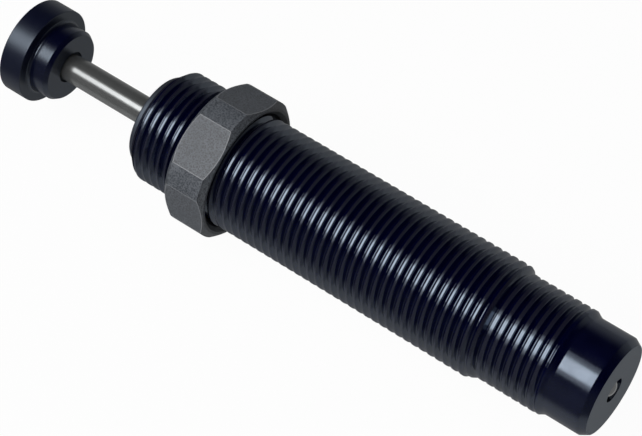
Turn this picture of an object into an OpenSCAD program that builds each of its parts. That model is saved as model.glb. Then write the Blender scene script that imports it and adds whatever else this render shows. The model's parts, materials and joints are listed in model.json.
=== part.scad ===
// Industrial shock absorber: a threaded M20 x 1.5 hydraulic damper with a
// turned impact button, a lock nut and its real working parts inside.
//
// The axis lies along X. +X points to the closed rear end, -X to the button,
// +Z is up. X = 0 is the seat face of the lock nut, where a bracket bears on it.
// All lengths are in millimetres.

/* [Body, outside] */
// Crest diameter of the long mounting thread
thread_d = 19.75; // [19.4:0.05:20.4]
// Pitch of the mounting thread
thread_pitch = 1.5; // [1:0.25:2]
// Width of the flat on each thread crest, as a share of the pitch
crest_share = 0.24; // [0.12:0.01:0.3]
// Width of the flat in each thread root, as a share of the pitch
root_share = 0.15; // [0.1:0.01:0.2]
// How far the body stands out in front of the lock nut
front_standout = 10.4; // [9:0.05:16]
// Diameter of the plain nose at the front end
nose_d = 16.4; // [16:0.1:17]
// Length of the plain nose
nose_l = 1.2; // [1:0.1:3]
// Length of the mounting thread
thread_l = 65.45; // [58:0.05:80]
// Length of the taper from the mounting thread down to the rear thread
taper_l = 1.55; // [1:0.05:4]
// Crest diameter of the smaller rear thread
rear_thread_d = 18.05; // [17.6:0.1:18.6]
// Length of the rear thread
rear_thread_l = 10.2; // [6:0.05:14]
// How much is turned off the crests of the rear thread, which widens them
rear_crest_cut = 0.18; // [0:0.02:0.2]
// Length of the plain land behind the rear thread
land_l = 0.8; // [0.6:0.05:5]
// Length of the bevel from the land down to the shank
shoulder_l = 1.1; // [0.5:0.05:2]
// Diameter of the smooth shank at the rear end
shank_d = 16.85; // [16.4:0.05:17.4]
// Length of the smooth shank
shank_l = 5.95; // [4:0.05:10]
// Length of the bevel round the rear face
rear_bevel_l = 1.25; // [0.5:0.05:2]
// Diameter of the flat rear face
rear_face_d = 15.4; // [14.6:0.1:16]

/* [Body, inside] */
// Bore of the body, in which every inner part sits
body_bore_d = 14; // [13.6:0.1:14.2]
// Thickness of the closed rear wall
rear_wall = 4.3; // [4.2:0.1:6]
// Distance from the front face to the snap ring's groove
ring_inset = 1.45; // [0.9:0.05:1.8]
// Diameter of the filling ball
ball_d = 4; // [3:0.1:4.4]
// How far the filling ball stands proud of the rear face
ball_proud = 0.15; // [0:0.05:0.3]

/* [Lock nut] */
// Wall of the lock nut from the thread's crests to its flats
nut_wall = 1.725; // [1.6:0.025:3]
// How far the turned corners stand out over the flats
nut_corner_rise = 0.8; // [0.4:0.05:1.2]
// Thickness of the lock nut
nut_t = 7.8; // [6:0.1:9]
// How far inside the flats the flat ring on each face ends and the bevel starts
nut_face_inset = 0.2; // [0.1:0.05:0.6]
// Angle of the bevel on the nut's corners, from the face
nut_bevel_angle = 40; // [30:5:50]
// Radial width of the countersink at each mouth of the nut's bore
nut_sink_w = 1; // [0.5:0.1:1.1]
// Turned position of the nut about the axis, in degrees
nut_clocking = 2.4; // [0:0.1:60]

/* [Impact button] */
// Diameter of the button's disc
button_d = 16.8; // [14:0.1:20]
// Thickness of the button's disc
button_t = 4.3; // [3:0.1:6]
// Diameter of the button's hub
hub_d = 12.7; // [10:0.1:13.5]
// Length of the button's hub
hub_l = 4; // [3:0.1:8]
// Length of the bevel round the hub's end
hub_bevel_l = 0.75; // [0.3:0.05:1]
// Radial width of the bevel round the hub's end
hub_bevel_w = 0.48; // [0.2:0.02:0.8]
// Radius of the fillet between the disc and the hub
button_fillet = 0.6; // [0.3:0.1:1.2]
// Diameter of the counterbore round the rod in the hub's end
hub_recess_d = 5.6; // [5.4:0.1:7]
// Depth of the counterbore round the rod
hub_recess_depth = 0.9; // [0.3:0.1:2]

/* [Piston rod] */
// Diameter of the piston rod
rod_d = 4.75; // [4:0.05:5]
// Travel of the rod from rest to its inner stop
stroke = 15; // [10:0.5:16]
// Free rod between the hub and the nose at full stroke
closed_gap = 3.85; // [3:0.05:6]
// Diameter of the rod's stem inside the piston
stem_d = 3.6; // [3:0.1:3.8]

/* [Bearing and seals] */
// Length of the bearing's head, which fills the body's bore
bearing_head_l = 7; // [6:0.1:9]
// Length of the bearing's neck, which carries the foam sleeve
bearing_neck_l = 11; // [9:0.1:14]
// Diameter of the bearing's neck
bearing_neck_d = 9.2; // [9:0.1:10]
// Length of the bearing's flange, on which the pressure tube rests
bearing_flange_l = 2; // [1.5:0.1:3]
// Length of the bearing's spigot inside the pressure tube
bearing_spigot_l = 2.5; // [2:0.1:4]
// Wall of the guide bush
bush_wall = 1; // [0.7:0.05:1.2]
// Length of the guide bush
bush_l = 12; // [9:0.5:13]
// Length of the pocket for the wiper
wiper_l = 2; // [1.5:0.1:2.5]
// Outer diameter of the wiper
wiper_d = 8.3; // [7.5:0.1:9]
// Length of the rod seal
seal_l = 4.5; // [3.5:0.1:5]
// Outer diameter of the rod seal
seal_d = 7.7; // [7.4:0.1:8]
// Thickness of the backup washer in front of the rod seal
backup_t = 0.8; // [0.5:0.1:1]
// Thickness of the stop washer behind the bearing
stop_washer_t = 1; // [0.8:0.1:1.5]

/* [Pressure tube, piston and spring] */
// Radial gap for the oil between the pressure tube and the body
oil_gap = 0.8; // [0.6:0.05:1]
// Wall of the pressure tube
tube_wall = 1; // [0.7:0.05:1.2]
// Number of metering orifices along the stroke
orifice_count = 6; // [3:1:8]
// Diameter of the first metering orifice
orifice_d = 0.9; // [0.5:0.1:1.2]
// Thickness of the base under the pressure tube
base_t = 2.5; // [2:0.1:3.5]
// Length of the base's spigot inside the pressure tube
base_spigot_l = 2.5; // [2:0.1:4]
// Length of the boss that centres the spring on the base
base_boss_l = 2.5; // [1.5:0.1:4]
// Length of the piston
piston_l = 7; // [6:0.1:9]
// Axial width of the check ring
check_ring_l = 1.5; // [1:0.1:2]
// Free travel of the check ring in its groove
check_float = 0.5; // [0.3:0.05:0.8]
// Outer diameter of the return spring
spring_d = 8.3; // [7.8:0.1:8.8]
// Wire diameter of the return spring
wire_d = 0.8; // [0.6:0.05:1]
// Number of turns of the return spring
spring_turns = 20; // [14:1:22]

/* [Fits] */
// Radial running clearance of the rod in its bush
rod_clearance = 0.025; // [0.015:0.005:0.05]
// Radial clearance of seated parts in their bores
seat_clearance = 0.02; // [0.01:0.01:0.05]
// Radial clearance of the check ring in the pressure tube
ring_clearance = 0.02; // [0.015:0.005:0.05]
// Radial clearance of the nut's bore over the thread crests
nut_clearance = 0.08; // [0.05:0.01:0.15]
// Axial play between parts that only just miss each other
axial_play = 0.05; // [0.02:0.01:0.1]

/* [Hidden] */
$fn = 96;
eps = 0.01;

// Places along the axis, outside of the body, from the front to the rear
nose_x = -nut_t - front_standout;
thread_x = nose_x + nose_l;
thread_end_x = thread_x + thread_l;
rear_thread_x = thread_end_x + taper_l;
land_x = rear_thread_x + rear_thread_l;
shoulder_x = land_x + land_l;
shank_x = shoulder_x + shoulder_l;
bevel_x = shank_x + shank_l;
rear_x = bevel_x + rear_bevel_l;

// Snap ring: an internal ring for the body's bore, in its groove
ring_t = 1;
ring_groove_w = 1.1;
ring_groove_depth = 0.3;
ring_x = nose_x + ring_inset;
ring_r = body_bore_d / 2 + ring_groove_depth - seat_clearance;

// Places of the bearing and of what it carries
bearing_x = ring_x + ring_groove_w - axial_play;
neck_x = bearing_x + bearing_head_l;
flange_x = neck_x + bearing_neck_l;
spigot_x = flange_x + bearing_flange_l;
bearing_end_x = spigot_x + bearing_spigot_l;
bearing_r = body_bore_d / 2 - seat_clearance;
seal_stack_l = backup_t + seal_l + 2 * axial_play;
seal_pocket_x = bearing_end_x - seal_stack_l - 0.5;
bush_x = bearing_x + wiper_l + axial_play;
rod_r = rod_d / 2;
bush_r = rod_r + rod_clearance + bush_wall;

// O-ring groove in the bearing's head
o_groove_w = 2;
o_groove_depth = 1.3;
o_groove_x = bearing_x + 0.4 * bearing_head_l;

// Stop washer, piston and what the piston carries, at rest
stop_x = bearing_end_x;
piston_x = stop_x + stop_washer_t;
piston_end_x = piston_x + piston_l;
tube_out_r = body_bore_d / 2 - oil_gap;
tube_r = tube_out_r - tube_wall;
piston_r = tube_r - 0.1;
check_groove_l = check_ring_l + check_float;
check_x = piston_x + (piston_l - check_groove_l) * 0.62;
check_depth = 1.25;
stem_r = stem_d / 2;
retainer_r = stem_r + 0.6;
retainer_l = 2;

// Spring seat behind the piston
seat_flange_t = 1;
seat_x = piston_end_x + axial_play;
seat_bore_r = retainer_r + 0.15;
spring_in_r = spring_d / 2 - wire_d;
seat_collar_r = spring_in_r - 0.12;
seat_collar_l = 1.6;

// Rear end of the inside
cavity_end_x = rear_x - rear_wall;
base_x = cavity_end_x - base_t;
base_front_x = base_x - base_spigot_l;
spring_x0 = seat_x + seat_flange_t + axial_play;
spring_x1 = base_front_x - axial_play;

// Filling ball: it sits on a 45 degree cone in the rear wall
ball_r = ball_d / 2;
ball_x = rear_x + ball_proud - ball_r;
fill_bore_r = ball_r + 0.05;
fill_cone_x = ball_x + fill_bore_r - (ball_r + eps) * sqrt(2);
fill_passage_r = ball_r * 0.65;

// Button on the rod, at rest
hub_face_x = nose_x - closed_gap - stroke;
disc_rear_x = hub_face_x - hub_l;
button_x = disc_rear_x - button_t;
button_edge = 0.15;
rod_socket_depth = hub_l + button_t * 0.45;
rod_front_x = hub_face_x - rod_socket_depth + 0.1;
clip_wire_d = 0.6;
clip_x = disc_rear_x + clip_wire_d;

// ---- helpers ---------------------------------------------------------------

// A turned part: the outline is a list of [place along X, radius]
module turned(outline)
  rotate([0, 90, 0])
    rotate_extrude()
      polygon([for (p = outline) [p[1], p[0]]]);

// A plain ring or, with no bore, a plain disc
module sleeve(x, l, r_out, r_in = 0)
  turned([[x, r_in], [x, r_out], [x + l, r_out], [x + l, r_in]]);

// A flat outline, drawn in Y and Z, stretched along X
module along_x(x, l)
  translate([x, 0, 0])
    rotate([0, 90, 0])
      rotate([0, 0, 90])
        linear_extrude(l) children();

// A round bar that stands out of the axis, at an angle about it
module spoke(x, angle, r_from, r_to, d)
  translate([x, 0, 0])
    rotate([angle, 0, 0])
      translate([0, 0, r_from])
        cylinder(d = d, h = r_to - r_from, $fn = 24);

// A ring of round section, such as an O-ring
module round_ring(x, r_mid, section_d)
  translate([x, 0, 0])
    rotate([0, 90, 0])
      rotate_extrude()
        translate([r_mid, 0]) circle(d = section_d, $fn = 32);

// ---- body ------------------------------------------------------------------

// A ridge of the thread has two 30 degree flanks and a flat crest
crest_w = crest_share * thread_pitch;
flank_l = thread_pitch * (1 - crest_share - root_share) / 2;
thread_depth = flank_l / tan(30);
ridge_half_l = crest_w / 2 + flank_l;

// Crests are counted from the front. An open root lies between them and the nose.
crest_0_x = thread_x + thread_pitch + 0.05;
crest_count = floor((land_x - ridge_half_l - crest_0_x) / thread_pitch) + 1;
function crest_x(k) = crest_0_x + k * thread_pitch;

// Radius of the blank that the thread is cut in: thread, taper, rear thread
function blank_r(x) =
  x <= thread_end_x ? thread_d / 2
  : x >= rear_thread_x ? rear_thread_d / 2
  : thread_d / 2 - (thread_d - rear_thread_d) / 2 * (x - thread_end_x) / taper_l;

// The crests in front of and under the lock nut are crowned by a hair, so the
// straight crests that are left are the length on which a bracket can sit
crest_crown = 0.02;
function crown(k) = crest_x(k) < 0 ? crest_crown : 0;

// The crests from the taper on are turned down further than the others
function cut(k) = crest_x(k) > thread_end_x ? rear_crest_cut : 0;
rear_depth = thread_depth - rear_crest_cut;

// One thread ridge: up the front flank, over the crest, down the rear flank
function ridge(k) =
  let (
    c = crest_x(k),
    w = crest_w / 2 + cut(k) * tan(30),
    r = blank_r(c),
    root_r = r + cut(k) - thread_depth
  )
  [
    [c - ridge_half_l, root_r],
    [c - w, r - crown(k)],
    if (crown(k) > 0) [c, r],
    [c + w, r - crown(k)],
    [c + ridge_half_l, root_r]
  ];

module outer_blank()
  turned(concat(
    [[nose_x, 0], [nose_x, nose_d / 2 - 0.3], [nose_x + 0.3, nose_d / 2],
     [thread_x, nose_d / 2],
     [thread_x, thread_d / 2 - thread_depth]],
    [for (k = [0 : crest_count - 1]) each ridge(k)],
    [[land_x, rear_thread_d / 2 - rear_depth],
     [land_x + rear_depth * tan(30), rear_thread_d / 2],
     [shoulder_x, rear_thread_d / 2], [shank_x, shank_d / 2],
     [bevel_x, shank_d / 2], [rear_x, rear_face_d / 2], [rear_x, 0]]));

module body_cavity()
  turned([
    [nose_x - 1, 0], [nose_x - 1, body_bore_d / 2 + 0.25],
    [nose_x, body_bore_d / 2 + 0.25], [nose_x + 0.25, body_bore_d / 2],
    [ring_x, body_bore_d / 2], [ring_x, body_bore_d / 2 + ring_groove_depth],
    [ring_x + ring_groove_w, body_bore_d / 2 + ring_groove_depth],
    [ring_x + ring_groove_w, body_bore_d / 2],
    [cavity_end_x, body_bore_d / 2], [cavity_end_x, 0]]);

module fill_hole()
  turned([
    [cavity_end_x - 1, 0], [cavity_end_x - 1, fill_passage_r],
    [fill_cone_x - (fill_bore_r - fill_passage_r), fill_passage_r],
    [fill_cone_x, fill_bore_r], [rear_x + 1, fill_bore_r], [rear_x + 1, 0]]);

module outer_body()
  color([0.07, 0.07, 0.08])
    difference() {
      outer_blank();
      body_cavity();
      fill_hole();
    }

module fill_ball()
  color([0.78, 0.78, 0.8])
    translate([ball_x, 0, 0]) sphere(r = ball_r, $fn = 48);

// ---- front end: snap ring, wiper, bearing and seals ------------------------

// An internal snap ring: thick at the back, thin towards the two lugs
module retaining_ring() {
  ring_thick = 1.5;
  ring_thin = 0.9;
  lug_d = 2.6;
  eye_d = 1.1;
  lug_angle = 14;
  gap_angle = 7;
  lug_r = ring_r - lug_d / 2 - 0.25;
  inner_shift = (ring_thick - ring_thin) / 2;
  color([0.12, 0.12, 0.13])
    along_x(ring_x + ring_groove_w - axial_play - ring_t, ring_t)
      difference() {
        union() {
          difference() {
            circle(r = ring_r);
            translate([0, inner_shift])
              circle(r = ring_r - (ring_thick + ring_thin) / 2);
          }
          for (side = [-1, 1])
            rotate(side * lug_angle) translate([0, lug_r]) circle(d = lug_d, $fn = 32);
        }
        polygon([[0, 0], [-ring_r * tan(gap_angle), ring_r + 1],
                 [ring_r * tan(gap_angle), ring_r + 1]]);
        for (side = [-1, 1])
          rotate(side * lug_angle) translate([0, lug_r]) circle(d = eye_d, $fn = 24);
      }
}

// The wiper: a ring with a lip that leans forward onto the rod
module rod_wiper() {
  lip_r = rod_r + rod_clearance;
  heel_r = wiper_d / 2 - seat_clearance;
  color([0.1, 0.1, 0.1])
    turned([
      [bearing_x + axial_play, heel_r - 0.5], [bearing_x + axial_play, heel_r],
      [bush_x, heel_r], [bush_x, lip_r + 0.25],
      [bush_x - 0.7, lip_r + 0.3], [bearing_x - 0.3, lip_r],
      [bearing_x - 0.3, lip_r + 0.25], [bush_x - 0.9, lip_r + 0.85]]);
}

module rod_bearing() {
  shoulder_r = rod_r + 0.125;
  color([0.62, 0.63, 0.65])
    difference() {
      turned([
        [bearing_x, 0], [bearing_x, bearing_r - 0.2], [bearing_x + 0.2, bearing_r],
        [o_groove_x, bearing_r], [o_groove_x, body_bore_d / 2 - o_groove_depth],
        [o_groove_x + o_groove_w, body_bore_d / 2 - o_groove_depth],
        [o_groove_x + o_groove_w, bearing_r],
        [neck_x, bearing_r], [neck_x, bearing_neck_d / 2],
        [flange_x, bearing_neck_d / 2], [flange_x, tube_out_r],
        [spigot_x, tube_out_r], [spigot_x, tube_r - seat_clearance],
        [bearing_end_x, tube_r - seat_clearance], [bearing_end_x, 0]]);
      sleeve(bearing_x - 1, wiper_l + 1 + axial_play, wiper_d / 2);
      sleeve(bearing_x, bush_x - bearing_x + bush_l, bush_r);
      sleeve(bearing_x, bearing_end_x - bearing_x + 1, shoulder_r);
      sleeve(seal_pocket_x, bearing_end_x - seal_pocket_x + 1, seal_d / 2);
    }
}

module guide_bush()
  color([0.72, 0.5, 0.22])
    sleeve(bush_x, bush_l - axial_play, bush_r - seat_clearance, rod_r + rod_clearance);

module bearing_o_ring() {
  section = o_groove_depth - 0.04;
  color([0.06, 0.06, 0.06])
    round_ring(o_groove_x + o_groove_w / 2, body_bore_d / 2 - o_groove_depth / 2, section);
}

// Closed-cell foam sleeve: it gives way as the rod displaces oil
module foam_accumulator()
  color([0.25, 0.26, 0.28])
    sleeve(neck_x + axial_play, bearing_neck_l - 2 * axial_play,
           body_bore_d / 2 - 0.1, bearing_neck_d / 2 + 0.1);

module backup_washer()
  color([0.9, 0.88, 0.8])
    sleeve(seal_pocket_x, backup_t, seal_d / 2 - seat_clearance, rod_r + rod_clearance);

// Places of the rod seal's groove and lips
seal_x = seal_pocket_x + backup_t + axial_play;
seal_out_r = seal_d / 2 - seat_clearance;
seal_in_r = rod_r + rod_clearance;
seal_mid_r = (seal_out_r + seal_in_r) / 2;
seal_groove_w = 0.75;

// U-shaped rod seal: a heel in front and two lips that open to the oil
module rod_seal()
  color([0.15, 0.3, 0.28])
    difference() {
      turned([
        [seal_x, seal_in_r + 0.1], [seal_x, seal_out_r - 0.1],
        [seal_x + 0.45 * seal_l, seal_out_r - 0.1], [seal_x + seal_l - 0.4, seal_out_r],
        [seal_x + seal_l, seal_out_r - 0.2], [seal_x + seal_l, seal_in_r + 0.2],
        [seal_x + seal_l - 0.4, seal_in_r], [seal_x + 0.45 * seal_l, seal_in_r + 0.1]]);
      turned([
        [seal_x + 0.4 * seal_l, seal_mid_r - 0.2], [seal_x + 0.4 * seal_l, seal_mid_r + 0.2],
        [seal_x + 0.55 * seal_l, seal_mid_r + seal_groove_w / 2],
        [seal_x + seal_l + 1, seal_mid_r + seal_groove_w / 2],
        [seal_x + seal_l + 1, seal_mid_r - seal_groove_w / 2],
        [seal_x + 0.55 * seal_l, seal_mid_r - seal_groove_w / 2]]);
    }

module seal_o_ring()
  color([0.08, 0.08, 0.08])
    round_ring(seal_x + 0.72 * seal_l, seal_mid_r, seal_groove_w - 2 * seat_clearance);

// The stop washer closes the seal's pocket and stops the piston at rest
module stop_washer()
  color([0.7, 0.7, 0.72])
    difference() {
      sleeve(stop_x, stop_washer_t, tube_r - 0.1, rod_r + 0.15);
      for (a = [0 : 120 : 240])
        along_x(stop_x - 1, stop_washer_t + 2)
          rotate(a) translate([(seal_d / 2 + tube_r) / 2, 0]) circle(d = 0.8, $fn = 24);
    }

// ---- pressure tube and its base --------------------------------------------

// Metering orifices close up along the stroke, so the open area falls with the
// square root of the travel that is left and the mass is slowed evenly
orifice_first_x = piston_end_x + 1;
function orifice_x(k) =
  orifice_first_x + (stroke - 1) * (1 - pow(1 - k / orifice_count, 2));

module pressure_tube()
  color([0.55, 0.56, 0.58])
    difference() {
      sleeve(spigot_x, base_x - spigot_x, tube_out_r, tube_r);
      for (k = [0 : orifice_count - 1])
        spoke(orifice_x(k), 70 * k, tube_r - 1, tube_out_r + 1,
              orifice_d * (1 - 0.06 * k));
      for (a = [45, 225])
        spoke(spigot_x + bearing_spigot_l + stop_washer_t + 0.8, a,
              tube_r - 1, tube_out_r + 1, 1.2);
    }

module tube_base() {
  boss_r = spring_in_r - 0.15;
  color([0.6, 0.6, 0.62])
    difference() {
      turned([
        [base_front_x - base_boss_l, 0], [base_front_x - base_boss_l, boss_r - 0.4],
        [base_front_x - base_boss_l + 0.4, boss_r], [base_front_x, boss_r],
        [base_front_x, tube_r - seat_clearance], [base_x, tube_r - seat_clearance],
        [base_x, tube_out_r], [cavity_end_x, tube_out_r], [cavity_end_x, 0]]);
      sleeve(base_front_x - base_boss_l - 1, base_boss_l + base_spigot_l + base_t + 2, 0.8);
      for (a = [0, 90])
        rotate([a, 0, 0])
          translate([cavity_end_x - 0.8, -tube_out_r - 1, -0.8])
            cube([0.8 + eps, 2 * tube_out_r + 2, 1.6]);
    }
}

// ---- return spring ---------------------------------------------------------

// The wire's centre line: a closed turn at each end, open turns between them
closed_turns = 1.1;
closed_pitch = wire_d * 1.04;
coil_r = (spring_d - wire_d) / 2;
open_turns = spring_turns - 2 * closed_turns;
spring_l = spring_x1 - spring_x0 - wire_d;
open_pitch = (spring_l - 2 * closed_turns * closed_pitch) / open_turns;
function coil_rise(t) =
  t < closed_turns ? t * closed_pitch
  : t > spring_turns - closed_turns ? spring_l - (spring_turns - t) * closed_pitch
  : closed_turns * closed_pitch + (t - closed_turns) * open_pitch;

ring_steps = 16;
wire_sides = 8;
coil_rings = spring_turns * ring_steps;
function wire_ring(i) =
  let (t = i / ring_steps, a = 360 * t, x = spring_x0 + wire_d / 2 + coil_rise(t))
  [for (j = [0 : wire_sides - 1])
    let (b = 360 * j / wire_sides, r = coil_r + wire_d / 2 * cos(b))
    [x + wire_d / 2 * sin(b), r * cos(a), r * sin(a)]];

module return_spring() {
  points = [for (i = [0 : coil_rings]) each wire_ring(i)];
  skin = [for (i = [0 : coil_rings - 1]) for (j = [0 : wire_sides - 1])
    let (n = (j + 1) % wire_sides, a = i * wire_sides, b = a + wire_sides)
    [a + j, a + n, b + n, b + j]];
  first_cap = [for (j = [wire_sides - 1 : -1 : 0]) j];
  last_cap = [for (j = [0 : wire_sides - 1]) coil_rings * wire_sides + j];
  color([0.68, 0.69, 0.72])
    polyhedron(points = points, faces = concat([first_cap], skin, [last_cap]));
}

// The seat takes the spring's thrust and lets the rod turn without it
module spring_seat()
  color([0.7, 0.68, 0.6])
    turned([
      [seat_x, seat_bore_r], [seat_x, tube_r - 0.3], [seat_x + seat_flange_t, tube_r - 0.3],
      [seat_x + seat_flange_t, seat_collar_r],
      [seat_x + seat_flange_t + seat_collar_l - 0.3, seat_collar_r],
      [seat_x + seat_flange_t + seat_collar_l, seat_collar_r - 0.3],
      [seat_x + seat_flange_t + seat_collar_l, seat_bore_r]]);

// ---- rod, button and piston ------------------------------------------------

module piston_rod()
  color([0.8, 0.81, 0.83])
    difference() {
      turned([
        [rod_front_x, 0], [rod_front_x, rod_r - 0.3], [rod_front_x + 0.3, rod_r],
        [piston_x, rod_r], [piston_x, stem_r],
        [piston_end_x + retainer_l - 0.3, stem_r],
        [piston_end_x + retainer_l, stem_r - 0.3], [piston_end_x + retainer_l, 0]]);
      round_ring(clip_x, rod_r, clip_wire_d + 2 * seat_clearance);
    }

// The fillet between the disc and the hub, a quarter circle
function button_corner() =
  [for (a = [0 : 15 : 90])
    [disc_rear_x + button_fillet * (1 - cos(a)),
     hub_d / 2 + button_fillet * (1 - sin(a))]];

module impact_button()
  color([0.16, 0.16, 0.17])
    difference() {
      turned(concat(
        [[button_x, 0], [button_x, button_d / 2 - button_edge],
         [button_x + button_edge, button_d / 2],
         [disc_rear_x - button_edge, button_d / 2],
         [disc_rear_x, button_d / 2 - button_edge]],
        button_corner(),
        [[hub_face_x - hub_bevel_l, hub_d / 2], [hub_face_x, hub_d / 2 - hub_bevel_w],
         [hub_face_x, 0]]));
      sleeve(hub_face_x - rod_socket_depth, rod_socket_depth + 1, rod_r + seat_clearance);
      sleeve(hub_face_x - hub_recess_depth, hub_recess_depth + 1, hub_recess_d / 2);
      round_ring(clip_x, rod_r, clip_wire_d + 2 * seat_clearance);
    }

// A wire ring, half in the rod and half in the button, holds the button on
module button_clip()
  color([0.75, 0.75, 0.77])
    difference() {
      round_ring(clip_x, rod_r, clip_wire_d);
      translate([clip_x - 1, -0.6, 0]) cube([2, 1.2, rod_r + 1]);
    }

module piston() {
  port_count = 4;
  port_r = (piston_r - check_depth + stem_r) / 2;
  color([0.5, 0.5, 0.52])
    difference() {
      turned([
        [piston_x, stem_r + seat_clearance], [piston_x, piston_r - 0.3],
        [piston_x + 0.3, piston_r], [check_x, piston_r],
        [check_x, piston_r - check_depth], [check_x + check_groove_l, piston_r - check_depth],
        [check_x + check_groove_l, piston_r], [piston_end_x - 0.3, piston_r],
        [piston_end_x, piston_r - 0.3], [piston_end_x, stem_r + seat_clearance]]);
      for (a = [0 : 360 / port_count : 359])
        along_x(piston_x - 1, piston_l + 2)
          rotate(a) translate([port_r, 0]) circle(d = 1, $fn = 24);
    }
}

// The retainer is riveted over the stem and holds the piston on the rod
module piston_retainer()
  color([0.7, 0.7, 0.72])
    sleeve(piston_end_x, retainer_l - 0.3, retainer_r, stem_r + seat_clearance);

// The check ring floats in its groove: it seals on the stroke and opens on return
module check_ring()
  color([0.72, 0.5, 0.22])
    difference() {
      sleeve(check_x, check_ring_l, tube_r - ring_clearance, piston_r - check_depth + 0.15);
      translate([check_x - 1, -0.15, 0]) cube([check_ring_l + 2, 0.3, tube_r + 1]);
    }

// ---- lock nut --------------------------------------------------------------

module lock_nut() {
  flat_r = thread_d / 2 + nut_wall;
  corner_r = flat_r + nut_corner_rise;
  face_r = flat_r - nut_face_inset;
  bevel_l = (corner_r - face_r) * tan(nut_bevel_angle);
  bore_r = thread_d / 2 + nut_clearance;
  sink_r = bore_r + nut_sink_w;
  color([0.42, 0.43, 0.44])
    difference() {
      intersection() {
        rotate([nut_clocking, 0, 0])
          along_x(-nut_t, nut_t)
            rotate(30) circle(r = flat_r / cos(30), $fn = 6);
        turned([
          [-nut_t, 0], [-nut_t, face_r], [-nut_t + bevel_l, corner_r],
          [-bevel_l, corner_r], [0, face_r], [0, 0]]);
      }
      turned([
        [-nut_t - 1, 0], [-nut_t - 1, sink_r], [-nut_t, sink_r],
        [-nut_t + nut_sink_w, bore_r], [-nut_sink_w, bore_r], [0, sink_r],
        [1, sink_r], [1, 0]]);
    }
}

// ---- what is drawn ---------------------------------------------------------

outer_body();
fill_ball();
retaining_ring();
rod_wiper();
rod_bearing();
guide_bush();
bearing_o_ring();
foam_accumulator();
backup_washer();
rod_seal();
seal_o_ring();
stop_washer();
pressure_tube();
tube_base();
return_spring();
spring_seat();
piston_rod();
impact_button();
button_clip();
piston();
piston_retainer();
check_ring();
lock_nut();
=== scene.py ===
# %% [markdown]
# # A threaded shock absorber, dressed
#
# The real object is a small hydraulic brake for machines. A steel cylinder with a thread
# along its whole outside is screwed into a bracket and clamped with a lock nut. A turned
# button on a polished rod is struck, and the rod goes into the cylinder.
#
# The solids of all its parts are already made and packed. This lesson loads them, puts
# finer pieces over the ones that are seen, and gives every part its finish. Nothing is
# moved: a new piece is made at the place where its solid lies.

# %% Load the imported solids
import json
from math import atan2, copysign, cos, degrees, hypot, pi, radians, sin, tan, tau

import bmesh
import bpy
from mathutils import Matrix, Vector

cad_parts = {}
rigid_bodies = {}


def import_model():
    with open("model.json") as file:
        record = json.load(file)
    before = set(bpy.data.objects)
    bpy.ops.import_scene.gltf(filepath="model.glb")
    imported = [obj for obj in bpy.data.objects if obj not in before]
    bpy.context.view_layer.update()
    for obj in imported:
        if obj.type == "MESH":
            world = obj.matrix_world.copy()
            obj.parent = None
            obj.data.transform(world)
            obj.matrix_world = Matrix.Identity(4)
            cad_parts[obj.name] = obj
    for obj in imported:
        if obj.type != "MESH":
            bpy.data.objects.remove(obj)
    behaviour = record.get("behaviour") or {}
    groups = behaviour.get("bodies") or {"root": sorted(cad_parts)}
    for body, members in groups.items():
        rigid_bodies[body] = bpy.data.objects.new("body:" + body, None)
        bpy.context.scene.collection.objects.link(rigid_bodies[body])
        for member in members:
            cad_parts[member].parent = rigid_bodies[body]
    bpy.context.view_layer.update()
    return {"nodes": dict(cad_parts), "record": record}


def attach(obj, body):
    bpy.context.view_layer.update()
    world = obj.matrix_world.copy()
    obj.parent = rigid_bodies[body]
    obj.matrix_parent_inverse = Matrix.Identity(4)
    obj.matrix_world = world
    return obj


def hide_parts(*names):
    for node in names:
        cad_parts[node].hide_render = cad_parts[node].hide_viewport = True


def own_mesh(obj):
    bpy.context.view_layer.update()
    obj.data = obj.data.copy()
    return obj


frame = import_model()
nodes = frame["nodes"]

# %% [markdown]
# ## Sizes
#
# A mechanical part is drawn in millimetres, and Blender works in metres. So the sizes
# are written in millimetres and multiplied by `mm` where a mesh is made. The axis of the
# absorber is X, the button is at -X, and X = 0 is the seat face of the lock nut.
#
# The thread has one set of values, used on the body and in the nut, so that the two
# always mesh. Its profile is a groove with 60 degrees between its flanks, a flat root
# and a flat crest.

# %% Sizes in millimetres
mm = 0.001
pitch = 1.5
crest_r = 9.875
thread_depth = 0.792
root_half = 0.1125           # half the width of the flat root
flank_l = 0.4575             # length along X of one flank
flank_angle = radians(30)
steps = 128                  # points round one turn of the thread

nose_x, thread_x = -18.2, -17.0
taper_x, rear_thread_x = 48.45, 50.0
rear_crest_r = 9.025
rear_cut = 0.18              # turned off the crests of the rear thread
land_x, shoulder_x, shank_x = 60.2, 61.0, 62.1
shank_r, bevel_x, rear_x, rear_face_r = 8.425, 68.05, 69.3, 7.7
cavity_end_x, bore_r = 65.0, 7.0

groove_x = -14.7             # where the first groove crosses the line at groove_angle
groove_angle = 121.0         # angle about X, from +Y towards +Z, in degrees
edge_r = 0.12                # radius that turning leaves on an outer corner
merge_gap = 0.002 * mm       # points closer than this are one point
print("thread:", pitch, "mm pitch,", round(2 * crest_r, 2), "mm across the crests")

# %% [markdown]
# ## Small tools for the bench
#
# Blender's operators work on whatever is selected, so each step starts by selecting one
# object, and in edit mode by selecting the right points, edges or faces through a test.
# The first four helpers do that. The fifth applies a modifier at once, so that a finished
# piece holds nothing but its mesh, and the last one sets its shading.

# %% Selecting and applying
def take(piece):
    """Make this the one selected and active object."""
    bpy.ops.object.select_all(action="DESELECT")
    piece.select_set(True)
    bpy.context.view_layer.objects.active = piece


def open_mesh(piece, mode="VERT"):
    """Go into edit mode with nothing selected."""
    take(piece)
    bpy.ops.object.mode_set(mode="EDIT")
    bpy.ops.mesh.select_mode(type=mode)
    bpy.ops.mesh.select_all(action="DESELECT")


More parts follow.
